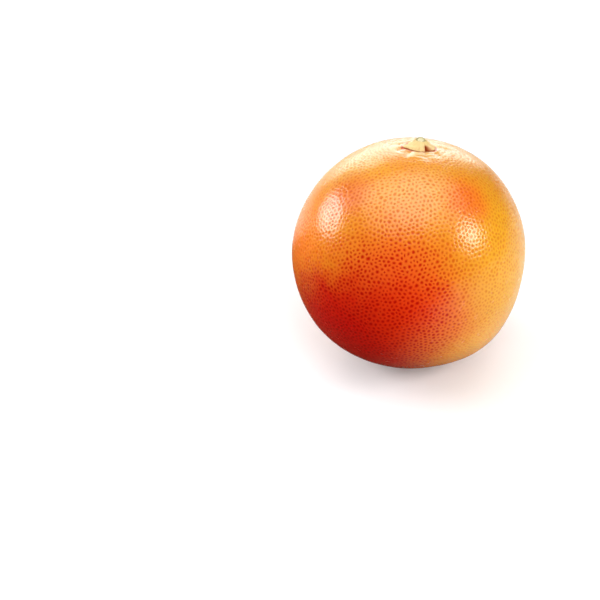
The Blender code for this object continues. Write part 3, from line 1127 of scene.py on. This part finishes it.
    def carry_back(self, cells: Socket) -> Socket:
        """Carries the cells' points back to the rind, sinks the pores, and keeps the rind's tints.

        Args:
            cells: The cells with their rings and middles.

        Returns:
            The peel.
        """
        plan, given = self.plan, self.given
        outwards = plan.vector("NORMALIZE", plan.output("GeometryNodeInputPosition"))
        tints, grain = self.look_up(outwards, "tints"), self.look_up(outwards, "grain")
        depth, darkness, waviness = plan.split(grain.outputs["Attribute"])
        pore = plan.product(self.read(plan, "pore"), self.read(plan, "pore_size"))
        cloud = plan.cloud(outwards, plan.math("DIVIDE", given["Fruit Radius"], given["Wave Length"]), 2.0)[0]
        wave = plan.product(plan.centred(cloud), given["Wave Height"], self.wave_gain, waviness)
        lift = plan.math("SUBTRACT", wave, plan.product(pore, depth))
        lifted = plan.split(plan.vector("ADD", tints.outputs["Hit Position"], plan.scaled(outwards, lift)))
        rested = plan.output("ShaderNodeCombineXYZ", {
            "X": lifted["X"], "Y": lifted["Y"], "Z": plan.math("MAXIMUM", lifted["Z"], 0.0),
        })
        kept = self.keep(cells, "tints", tints.outputs["Attribute"], "POINT", kind="FLOAT_VECTOR")
        kept = self.keep(kept, "pore_tone", plan.product(pore, darkness), "POINT")
        return self.moved(kept, rested)

    def look_up(self, outwards: Socket, name: str) -> Node:
        """Finds where a ray from the centre meets the rind, and the rind's named vector there.

        Args:
            outwards: The ray's direction.
            name: The vector's name.

        Returns:
            The node that gives both.
        """
        vector = self.plan.node("GeometryNodeInputNamedAttribute", {"Name": name}, data_type="FLOAT_VECTOR")
        return self.plan.node("GeometryNodeRaycast", {
            "Target Geometry": self.given["Rind"],
            "Attribute": vector.outputs[0],
            "Source Position": self.given["Fruit Centre"],
            "Ray Direction": outwards,
            "Ray Length": 1.0,
        }, data_type="FLOAT_VECTOR", mapping="INTERPOLATED")

    def moved(self, geometry: Socket, places: Socket) -> Socket:
        """Moves a geometry's points to other places."""
        return self.plan.output("GeometryNodeSetPosition", {"Geometry": geometry, "Position": places})

    def merged(self, geometry: Socket, distance: float) -> Socket:
        """Joins a geometry's points where they are closer together than a distance."""
        return self.plan.output("GeometryNodeMergeByDistance", {"Geometry": geometry, "Distance": distance})

    @staticmethod
    def read(plan: NodePlan, name: str) -> Socket:
        """A number that was kept on the mesh."""
        return plan.output("GeometryNodeInputNamedAttribute", {"Name": name}, data_type="FLOAT")

    def keep(
        self, geometry: Feed, name: str, value: Feed, domain: str, chosen: Feed = True, kind: str = "FLOAT"
    ) -> Socket:
        """Keeps a value on the mesh under a name, on the points or faces that are chosen."""
        feeds = {"Geometry": geometry, "Selection": chosen, "Name": name, "Value": value}
        return self.plan.output("GeometryNodeStoreNamedAttribute", feeds, data_type=kind, domain=domain)

    def shrink(self, extruded: Node, share: Feed) -> Socket:
        """Shrinks each face on top of an extrusion to a share of its size, round its own middle."""
        feeds = {"Geometry": extruded.outputs["Mesh"], "Selection": extruded.outputs["Top"], "Scale": share}
        return self.plan.output("GeometryNodeScaleElements", feeds, domain="FACE", scale_mode="UNIFORM")


@dataclass(frozen=True)
class Notch:
    """Where the calyx's outline draws in between two lobes, or reaches out where its depth is negative."""

    azimuth: float  # degrees round the stem axis
    depth: float
    width: float  # degrees


@dataclass
class Calyx:
    """The dry calyx: five blunt lobes round a collar, torn open at the front and lifted at one side."""

    rind: Rind
    groups: SkinGroups
    finish: SepalFinish = SepalFinish()
    reach: float = 6.7 * MM
    stretch: float = 0.45 * MM
    height: float = 4.1 * MM
    lobe_ridge: float = -0.12
    socket_radius: float = 2.6 * MM
    socket_floor: float = 1.4 * MM
    foot: float = -0.05 * MM
    lip_lift: float = 0.15 * MM
    lip_lift_middle: float = -135.0  # degrees
    lip_lift_width: float = 24.0  # degrees
    tear_middle: float = -54.0  # degrees
    tear_width: float = 13.0  # degrees
    tear_top: tuple[float, float] = (1.8 * MM, 3.2 * MM)
    ragged: tuple[Triple, ...] = ((0.10 * MM, 23.0, 1.0), (0.07 * MM, 41.0, 0.0))
    spokes: int = 260
    rings: int = 40
    wrinkle: float = 0.1 * MM
    ribs: float = 31.0
    seed: int = 4
    notches: tuple[Notch, ...] = (
        Notch(-56.0, 2.9 * MM, 8.5),
        Notch(-100.0, 0.5 * MM, 22.0),
        Notch(-160.0, -1.7 * MM, 13.0),
        Notch(-34.0, -1.2 * MM, 12.0),
        Notch(160.0, 0.9 * MM, 12.0),
        Notch(102.0, 1.1 * MM, 12.0),
        Notch(24.0, 0.8 * MM, 13.0),
    )

    def build(self) -> Piece:
        """Builds the calyx, which stands for the solid one.

        Returns:
            The calyx.
        """
        around = np.arange(self.spokes) * math.tau / self.spokes
        sections = np.array([self.section(azimuth) for azimuth in around])
        azimuth = np.repeat(around, self.rings)
        arc, lift = sections[:, :, 0].ravel(), sections[:, :, 1].ravel()
        lift = lift + self.wrinkles(arc, azimuth, lift)
        arc, azimuth = np.append(arc, [0.0, 0.0]), np.append(azimuth, [0.0, 0.0])
        lift = np.append(lift, [0.0, self.socket_floor])
        points = self.rind.above(arc, azimuth, lift)
        piece = mesh_object("calyx_lobes", points, turned_faces(self.spokes, self.rings))
        store(piece.data, "torn", "FLOAT", self.torn(arc, azimuth, lift))
        self.unwrap(piece.data, arc, azimuth)
        piece.data.materials.append(self.finish.material(self.groups))
        return finish_piece(piece, Slot.SEPALS, "calyx")

    def outline(self, azimuth: np.ndarray) -> np.ndarray:
        """How far the calyx spreads from the stem axis, drawn in between its lobes.

        Args:
            azimuth: Azimuths round the stem axis.

        Returns:
            The distance at each azimuth.
        """
        spread = self.reach + self.stretch * np.cos(2.0 * np.asarray(azimuth, float))
        for notch in self.notches:
            spread = spread - notch.depth * fan(azimuth, notch.azimuth, notch.width)
        return spread + waves(azimuth, self.ragged)

    def section(self, azimuth: float) -> np.ndarray:
        """The calyx's section at an azimuth, from under its middle, round its lip, into its socket.

        Args:
            azimuth: The section's azimuth round the stem axis.

        Returns:
            Distances from the stem axis and heights over the rind, one pair to a row.
        """
        spread = float(self.outline(np.array(azimuth)))
        lobe = self.lobe_ridge * (spread - self.reach)
        collar, flank, shoulder = self.socket_radius, self.socket_radius + 1.1 * MM, spread - 0.3 * MM
        lifted = self.lip_lift * float(fan(np.array(azimuth), self.lip_lift_middle, self.lip_lift_width))
        corners = np.array([
            (1.5 * MM, self.foot),
            (2.5 * MM, self.foot),
            (spread - 0.9 * MM, self.foot + 0.5 * lifted),
            (spread - 0.1 * MM, 0.05 * MM + lifted),
            (spread, 0.25 * MM + lifted),
            (shoulder, 0.55 * MM + lifted),
            (0.3 * flank + 0.7 * shoulder, 1.45 * MM + lobe + 0.5 * lifted),
            (0.75 * flank + 0.25 * shoulder, 2.4 * MM + lobe),
            (collar + 0.75 * MM, self.height - 0.5 * MM),
            (collar + 0.35 * MM, self.height),
            (collar, self.height - 0.1 * MM),
            (collar - 0.05 * MM, self.socket_floor),
        ])
        return smooth_path(corners, self.rings)

    def wrinkles(self, arc: np.ndarray, azimuth: np.ndarray, lift: np.ndarray) -> np.ndarray:
        """Small heights that crumple the calyx's upper side, most towards its lip.

        Args:
            arc: Distances along the rind from the stem axis.
            azimuth: Azimuths round the stem axis.
            lift: Heights over the rind.

        Returns:
            The height to add at each point.
        """
        places = np.column_stack([np.cos(azimuth) * 5.0, np.sin(azimuth) * 5.0, arc / MM * 0.5 + self.seed])
        ribs = np.sin(azimuth * self.ribs + 2.0 * np.sin(azimuth * 3.0))
        upper = smooth_step(0.5 * MM, 1.2 * MM, lift)
        outer = 0.35 + 0.65 * smooth_step(self.socket_radius + 0.5 * MM, self.reach - MM, arc)
        return self.wrinkle * upper * outer * (1.6 * rough_at(places) + 0.5 * ribs)

    def torn(self, arc: np.ndarray, azimuth: np.ndarray, lift: np.ndarray) -> np.ndarray:
        """How torn and brown the calyx is: at its lip, under it, and in the tear at the front.

        Args:
            arc: Distances along the rind from the stem axis.
            azimuth: Azimuths round the stem axis.
            lift: Heights over the rind.

        Returns:
            The share at each point, from 0 to 1.
        """
        spread = self.outline(azimuth)
        under = 1.0 - smooth_step(0.0, 0.3 * MM, lift)
        tear = fan(azimuth, self.tear_middle, self.tear_width) * (1.0 - smooth_step(*self.tear_top, lift))
        edge = 0.2 * smooth_step(spread - 0.5 * MM, spread, arc)
        return np.clip(under + tear + edge, 0.0, 1.0)

    def unwrap(self, mesh: Mesh, arc: np.ndarray, azimuth: np.ndarray) -> None:
        """Gives the calyx a UV map that runs round the stem and outwards from it, for its fibres.

        Args:
            mesh: The calyx's mesh.
            arc: The distance along the rind from the stem axis of each point.
            azimuth: The azimuth round the stem axis of each point.
        """
        corner_points = np.zeros(len(mesh.loops), int)
        mesh.loops.foreach_get("vertex_index", corner_points)
        turns, outwards = azimuth[corner_points] / math.tau, arc[corner_points] / self.reach
        uv_map = mesh.uv_layers.new(name="spokes")
        uv_map.data.foreach_set("uv", np.column_stack([turns, outwards]).astype(np.float32).ravel())


@dataclass
class Peel:
    """The fruit's peel: the smooth rind with real-size pores, waves, folds and streaks."""

    rind: Rind
    groups: SkinGroups
    calyx: Calyx
    finish: PeelFinish = PeelFinish()
    spokes: int = 300
    finest: float = 0.3 * MM
    coarsest: float = 1.1 * MM
    fine_reach: tuple[float, float] = (10.8 * MM, 28.8 * MM)
    spacings: tuple[float, ...] = (0.85 * MM, 1.75 * MM, 2.05 * MM, 1.1 * MM)  # in the order of the bands
    stem_reach: float = 13.0 * MM
    shoulder_reach: float = 24.0 * MM
    blossom_reach: float = 4.5 * MM
    pore_depth: float = 0.18 * MM
    stem_pore_depth: float = 0.05 * MM
    stem_pore_tone: float = 0.12
    pore_width: float = 0.55
    crown_middle: float = 95.0  # degrees round the stem, where the pores behind the calyx fade
    crown_width: float = 80.0  # degrees
    crown_reach: tuple[float, float] = (26.0 * MM, 44.0 * MM)
    crown_fade: float = 0.9
    wave_height: float = 0.07 * MM
    wave_length: float = 9.0 * MM
    # a band of painted shade round the calyx's lip, wider at the front
    crevice_shade_width: float = 0.8 * MM
    crevice_shade_bulges: tuple[Triple, ...] = ((1.9 * MM, -126.0, 26.0), (0.6 * MM, -48.0, 16.0))
    # the pale stem end: partly its own paleness and partly a painted reflection
    pale_reach: float = 16.0 * MM
    pale_waves: tuple[Triple, ...] = (
        (3.0 * MM, 1.0, 0.0), (0.9 * MM, 4.0, 0.6), (0.6 * MM, 9.0, 0.0),
    )
    paleness_and_reflection: float = 0.95
    streak_width: float = 1.1 * MM
    streak_turns: float = 2.6
    streak_depth: float = 0.12 * MM
    streak_stretch: float = 9.0 * MM  # how much further the streaks reach at the sides
    streak_fade: float = 6.0 * MM
    seed: int = 21

    def build(self) -> Piece:
        """Builds the peel, which stands for the solid fruit.

        Returns:
            The peel.
        """
        piece = apply_nodes(self.blank(), PoreTree().build(), {
            "Fruit Centre": tuple(self.rind.centre),
            "Fruit Radius": self.rind.radius,
            **{f"{band.value} Spacing": spacing for band, spacing in zip(Band, self.spacings)},
            "Stem Reach": self.stem_reach,
            "Shoulder Reach": self.shoulder_reach,
            "Blossom Start": self.rind.half_way - self.blossom_reach,
            "Pore Width": self.pore_width,
            "Wave Height": self.wave_height,
            "Wave Length": self.wave_length,
            "Seed": self.seed,
            "Material": self.finish.material(self.rind, self.groups),
        }, "peel")
        return finish_piece(piece, Slot.PEEL, "fruit")

    def ring_arcs(self) -> np.ndarray:
        """Places the blank's rings, close together at both ends of the fruit and further apart between.

        Returns:
            The distance along the rind from the stem axis of each ring.
        """
        arcs = [self.finest]
        while arcs[-1] < self.rind.half_way - self.finest:
            share = float(smooth_step(*self.fine_reach, min(arcs[-1], self.rind.half_way - arcs[-1])))
            arcs.append(arcs[-1] + self.finest + (self.coarsest - self.finest) * share)
        return np.array(arcs[:-1])

    def blank(self) -> Piece:
        """Builds the smooth rind as a fine mesh, with the tints and the grain of each of its points.

        Returns:
            The rind, which the Geometry Nodes start from.
        """
        arcs = self.ring_arcs()
        arc, azimuth = swept(arcs[:, None], self.spokes)
        arc, azimuth = np.append(arc, [0.0, self.rind.half_way]), np.append(azimuth, [0.0, 0.0])
        towards = self.rind.directions(arc, azimuth)
        radius = self.rind.distance(towards) - self.rind.crease_depth(arc, azimuth)
        radius = radius - self.streak_depth * self.streaks(arc, azimuth)
        points = self.rind.centre + towards * radius[:, None]
        points[:, 2] = np.maximum(points[:, 2], 0.0)
        blank = mesh_object("rind_blank", points, turned_faces(self.spokes, len(arcs)))
        store(blank.data, "from_stem", "FLOAT", arc)
        store(blank.data, "tints", "FLOAT_VECTOR", self.tints(arc, azimuth))
        store(blank.data, "grain", "FLOAT_VECTOR", self.grain(arc, azimuth, towards))
        return blank

    def tints(self, arc: np.ndarray, azimuth: np.ndarray) -> np.ndarray:
        """How dark with painted crevice shade round the calyx, how pale (partly a painted reflection) and how
        folded the peel is.

        Args:
            arc: Distances along the rind from the stem axis.
            azimuth: Azimuths round the stem axis.

        Returns:
            The three shares at each point, one point to a row.
        """
        # painted shade: a red-brown band just outside the calyx's outline
        wide = self.crevice_shade_width
        for width, middle, spread in self.crevice_shade_bulges:
            wide = wide + width * fan(azimuth, middle, spread)
        under = 1.0 - smooth_step(-0.3 * MM, 0.2 * MM, arc - self.calyx.outline(azimuth) - wide)
        # pale stem end: partly its own paleness and partly a painted reflection
        edge = self.pale_reach + waves(azimuth, self.pale_waves)
        streaks = self.streaks(arc, azimuth)
        pale = self.paleness_and_reflection * (1.0 - smooth_step(-2.5 * MM, 2.0 * MM, arc - edge)) * (1.0 - 0.9 * streaks)
        folds = np.clip(self.rind.crease_depth(arc, azimuth) / (0.2 * MM), 0.0, 1.0)
        folds = np.clip(folds + 0.6 * self.rind.furrow_share(arc, azimuth) + 0.5 * streaks, 0.0, 1.0)
        return np.column_stack([under, pale, folds])

    def streaks(self, arc: np.ndarray, azimuth: np.ndarray) -> np.ndarray:
        """How orange the streaks that run round the stem through the pale peel are.

        Args:
            arc: Distances along the rind from the stem axis.
            azimuth: Azimuths round the stem axis.

        Returns:
            The share at each point, from 0 to 1.
        """
        around = self.streak_turns * np.column_stack([np.cos(azimuth), np.sin(azimuth)])
        rough = rough_at(np.column_stack([around, arc / self.streak_width]))
        reach = self.stem_reach + self.streak_stretch * np.cos(azimuth) ** 2
        near = 1.0 - smooth_step(reach, reach + self.streak_fade, arc)
        return near * smooth_step(0.04, 0.3, rough)

    def grain(self, arc: np.ndarray, azimuth: np.ndarray, towards: np.ndarray) -> np.ndarray:
        """How deep and how dark the pores are, and how wavy the peel is.

        Args:
            arc: Distances along the rind from the stem axis.
            azimuth: Azimuths round the stem axis.
            towards: Unit directions from the fruit's centre, one to a row.

        Returns:
            The depth and the two shares at each point, one point to a row.
        """
        away = smooth_step(self.stem_reach - 3.0 * MM, self.stem_reach + 5.0 * MM, arc)
        from_blossom = self.rind.half_way - arc
        away = away * smooth_step(self.blossom_reach - 2.0 * MM, self.blossom_reach + 3.0 * MM, from_blossom)
        depth = self.stem_pore_depth + (self.pore_depth - self.stem_pore_depth) * away
        from_flat = np.arccos(np.clip(-towards[:, 2], -1.0, 1.0)) * self.rind.radius
        wavy = smooth_step(self.rind.flat_spot, self.rind.flat_spot + 8.0 * MM, from_flat)
        wavy = wavy * smooth_step(self.calyx.reach, self.calyx.reach + 5.0 * MM, arc)
        crown = fan(azimuth, self.crown_middle, self.crown_width)
        crown = crown * (1.0 - smooth_step(*self.crown_reach, arc))
        tone = (self.stem_pore_tone + (1.0 - self.stem_pore_tone) * away) * (1.0 - self.crown_fade * crown)
        return np.column_stack([depth, tone, wavy])


@dataclass
class StalkScar:
    """The stub of the stalk: a rough ring of bark round a paler core."""

    rind: Rind
    groups: SkinGroups
    finish: ScarFinish = ScarFinish()
    radius: float = 2.3 * MM
    height: float = 4.45 * MM
    floor: float = 1.45 * MM
    tip_to_front: float = 0.55 * MM
    roughness: float = 0.07 * MM
    grain_size: float = 0.55 * MM
    rim_start: tuple[float, float] = (1.25 * MM, 1.75 * MM)
    spokes: int = 72
    rings: int = 30

    def build(self) -> Piece:
        """Builds the stub, which stands for the solid one.

        Returns:
            The stub.
        """
        radius, height = self.radius, self.height
        path = smooth_path(np.array([
            (0.5 * radius, self.floor),
            (radius, self.floor),
            (radius, height - 0.5 * MM),
            (radius - 0.15 * MM, height - 0.12 * MM),
            (radius - 0.5 * MM, height - 0.05 * MM),
            (radius - 0.85 * MM, height - 0.42 * MM),
            (radius - 1.2 * MM, height - 0.18 * MM),
            (0.55 * MM, height - 0.05 * MM),
            (0.1 * MM, height - 0.1 * MM),
        ]), self.rings)
        arc, lift, azimuth = swept(path, self.spokes)
        rough = rough_round(arc, azimuth, lift, self.grain_size)
        arc = arc + 0.8 * self.roughness * rough * smooth_step(0.8 * MM, radius, arc)
        top = smooth_step(height - 0.7 * MM, height - 0.3 * MM, lift)
        tip = self.tip_to_front * arc / radius * np.sin(azimuth)
        lift = lift + top * (2.0 * self.roughness * rough + tip)
        arc, azimuth = np.append(arc, [0.0, 0.0]), np.append(azimuth, [0.0, 0.0])
        lift = np.append(lift, [self.floor, height - 0.1 * MM])
        points = self.rind.above(arc, azimuth, lift)
        piece = mesh_object("stalk_scar", points, turned_faces(self.spokes, self.rings))
        store(piece.data, "rim", "FLOAT", smooth_step(*self.rim_start, arc))
        piece.data.materials.append(self.finish.material("stalk_scar", self.groups))
        return finish_piece(piece, Slot.SCAR, "stem_stub")


@dataclass
class BlossomScar:
    """The small corky scar where the flower's style stood, in the dimple under the fruit."""

    rind: Rind
    groups: SkinGroups
    finish: ScarFinish = ScarFinish(rim=(0.33, 0.17, 0.06), core=(0.16, 0.08, 0.03))
    radius: float = 1.5 * MM
    rise: float = 0.22 * MM
    foot: float = -0.15 * MM
    roughness: float = 0.06 * MM
    raggedness: float = 0.14
    grain_size: float = 0.5 * MM
    spokes: int = 60
    rings: int = 22

    def build(self) -> Piece:
        """Builds the scar.

        Returns:
            The scar.
        """
        radius, rise = self.radius, self.rise
        path = smooth_path(np.array([
            (0.4 * radius, self.foot),
            (radius, self.foot),
            (radius, 0.02 * MM),
            (0.85 * radius, rise),
            (0.6 * radius, 0.8 * rise),
            (0.4 * radius, 0.1 * rise),
            (0.15 * radius, 0.5 * rise),
        ]), self.rings)
        reach, lift, azimuth = swept(path, self.spokes)
        rough = rough_round(reach, azimuth, lift, self.grain_size)
        reach = reach * (1.0 + self.raggedness * rough)
        lift = lift + self.roughness * rough * smooth_step(0.0, 0.1 * MM, lift)
        reach, azimuth = np.append(reach, [0.0, 0.0]), np.append(azimuth, [0.0, 0.0])
        lift = np.append(lift, [self.foot, 0.5 * rise])
        points = self.rind.above(self.rind.half_way - reach, azimuth, -lift)
        faces = [face[::-1] for face in turned_faces(self.spokes, self.rings)]
        piece = mesh_object("blossom_scar", points, faces)
        store(piece.data, "rim", "FLOAT", smooth_step(0.45 * radius, 0.7 * radius, reach))
        piece.data.materials.append(self.finish.material("blossom_scar", self.groups))
        return finish_piece(piece, Slot.SCAR)


class Throw(Enum):
    """What a studio light adds to: everything, only the gloss, or only the matt colour."""

    ALL = "all"
    GLOSS = "gloss"
    MATT = "matt"


@dataclass(frozen=True)
class Softbox:
    """A round soft studio light at a place seen from the fruit's centre."""

    name: str
    direction: Triple
    width: float
    height: float
    glow: float  # how bright its face is
    throw: Throw = Throw.ALL
    distance: float = 1.0

    def place(self, target: np.ndarray) -> None:
        """Puts the light in the scene.

        Args:
            target: The point that it is turned towards.
        """
        light = bpy.data.lights.new(self.name, "AREA")
        light.shape = "ELLIPSE"
        light.size, light.size_y = self.width, self.height
        light.energy = self.glow * math.pi * self.width * self.height * math.pi / 4.0
        light.cycles.use_multiple_importance_sampling = self.throw is not Throw.MATT
        lamp = bpy.data.objects.new(self.name, light)
        towards = Vector(self.direction).normalized()
        lamp.location = Vector(target) + towards * self.distance
        lamp.rotation_euler = towards.to_track_quat("Z", "Y").to_euler()
        lamp.visible_glossy = self.throw is not Throw.MATT
        lamp.visible_diffuse = self.throw is not Throw.GLOSS
        bpy.context.scene.collection.objects.link(lamp)


@dataclass(frozen=True)
class Backdrop:
    """A lit white screen behind the fruit, seen from the fruit's centre."""

    azimuth: float = math.radians(92.0)
    half_width: float = math.radians(27.0)
    top: float = math.radians(36.0)
    edge: float = math.radians(3.0)
    glow: float = 3.5

    def mask(self, plan: NodePlan, direction: Socket) -> Socket:
        """How much of the screen shows in a direction.

        Args:
            plan: The world's node tree.
            direction: The direction.

        Returns:
            The share, from 0 to 1.
        """
        parts = plan.split(direction)
        turned = plan.math("ARCTAN2", parts["Y"], parts["X"])
        aside = plan.math("ABSOLUTE", plan.math("SUBTRACT", turned, self.azimuth))
        wide = plan.ramp(aside, self.half_width - self.edge, self.half_width + self.edge, 1.0, 0.0)
        rise = plan.math("ARCSINE", parts["Z"])
        return plan.product(wide, plan.ramp(rise, self.top - self.edge, self.top + self.edge, 1.0, 0.0))


@dataclass
class Studio:
    """A white tabletop, softboxes at both sides and overhead, and a dim room with a lit screen behind."""

    rind: Rind
    floor_finish: FloorFinish = FloorFinish()
    backdrop: Backdrop = Backdrop()
    floor_radius: float = 4.0
    floor_sides: int = 96
    room: float = 0.08
    seen_room: float = 1.05  # how bright the room looks, whatever light it gives
    softboxes: tuple[Softbox, ...] = (
        Softbox("left_softbox", (-0.888, 0.326, 0.328), 0.62, 0.38, 10.1),
        Softbox("upper_left_softbox", (-0.58, 0.22, 0.80), 0.5, 0.5, 1.9),
        Softbox("right_softbox", (0.852, -0.255, 0.492), 0.36, 0.40, 11.0),
        Softbox("top_softbox", (0.02, -0.09, 1.0), 0.95, 0.9, 1.9),
        Softbox("top_glare", (0.02, -0.06, 1.0), 2.0, 1.36, 2.3, Throw.GLOSS),
        Softbox("front_fill", (0.20, -0.85, 0.55), 1.0, 0.9, 3.2, Throw.MATT),
        Softbox("left_fill", (-0.90, -0.20, 0.40), 0.8, 0.8, 1.6, Throw.MATT),
    )

    def build(self) -> None:
        """Builds the tabletop, the lights and the room."""
        self.build_floor()
        for softbox in self.softboxes:
            softbox.place(self.rind.centre)
        self.build_room()
        bpy.context.scene.view_settings.view_transform = "Standard"

    def build_floor(self) -> None:
        """Builds the tabletop, a wide disc that the fruit rests on."""
        angles = np.arange(self.floor_sides) * math.tau / self.floor_sides
        points = self.floor_radius * np.column_stack([np.cos(angles), np.sin(angles), np.zeros_like(angles)])
        floor = mesh_object("tabletop", points, [tuple(range(self.floor_sides))])
        floor.data.materials.append(self.floor_finish.material())

    def build_room(self) -> None:
        """Makes the world: plain white to look at, and dim but for the screen where it lights the fruit."""
        world = bpy.data.worlds.new("white_room")
        world.use_nodes = True
        bpy.context.scene.world = world
        plan = NodePlan(world.node_tree)
        lit = world.node_tree.nodes["Background"]
        screen = self.backdrop.mask(plan, plan.node("ShaderNodeTexCoord").outputs["Generated"])
        glow = plan.output("ShaderNodeMapRange", {
            "Value": screen, "To Min": self.room, "To Max": self.backdrop.glow,
        })
        plan.feed_all(lit, {"Strength": glow, "Color": (1.0, 1.0, 1.0)})
        seen = plan.node("ShaderNodeBackground", {"Color": (1.0, 1.0, 1.0), "Strength": self.seen_room})
        camera_ray = plan.node("ShaderNodeLightPath").outputs["Is Camera Ray"]
        mixed = plan.node("ShaderNodeMixShader", {0: camera_ray, 1: lit.outputs[0], 2: seen.outputs[0]})
        plan.feed(world.node_tree.nodes["World Output"].inputs["Surface"], mixed.outputs[0])


@dataclass(frozen=True)
class PhotoCamera:
    """The photograph's camera, a long lens that looks down at the fruit from the front."""

    lens_mm: float = 180.0
    sensor_mm: float = 36.0
    pitch: float = math.radians(32.7)
    clip: tuple[float, float] = (0.05, 20.0)
    fruit_in_view: Triple = (51.5 * MM, 21.5 * MM, -1411.7 * MM)

    def place(self, rind: Rind) -> None:
        """Puts the camera where it sees the fruit's centre at the photograph's place.

        Args:
            rind: The rind, for the fruit's centre.
        """
        camera = bpy.data.cameras.new("photo_camera")
        camera.lens, camera.sensor_width = self.lens_mm, self.sensor_mm
        camera.clip_start, camera.clip_end = self.clip
        turn = Euler((math.pi / 2.0 - self.pitch, 0.0, 0.0))
        seat = bpy.data.objects.new("photo_camera", camera)
        seat.rotation_euler = turn
        seat.location = Vector(rind.centre) - turn.to_matrix() @ Vector(self.fruit_in_view)
        bpy.context.scene.collection.objects.link(seat)
        bpy.context.scene.camera = seat


def main() -> None:
    """Builds the grapefruit, the studio and the camera."""
    logging.basicConfig(level=logging.INFO, format="%(name)s %(message)s")
    rind = Rind()
    groups = SkinGroups()
    calyx = Calyx(rind, groups)
    makers = (Peel(rind, groups, calyx), calyx, StalkScar(rind, groups), BlossomScar(rind, groups))
    pieces = [maker.build() for maker in makers]
    LOG.info("%d pieces made", len(pieces))
    Studio(rind).build()
    PhotoCamera().place(rind)


if __name__ == "__main__":
    main()
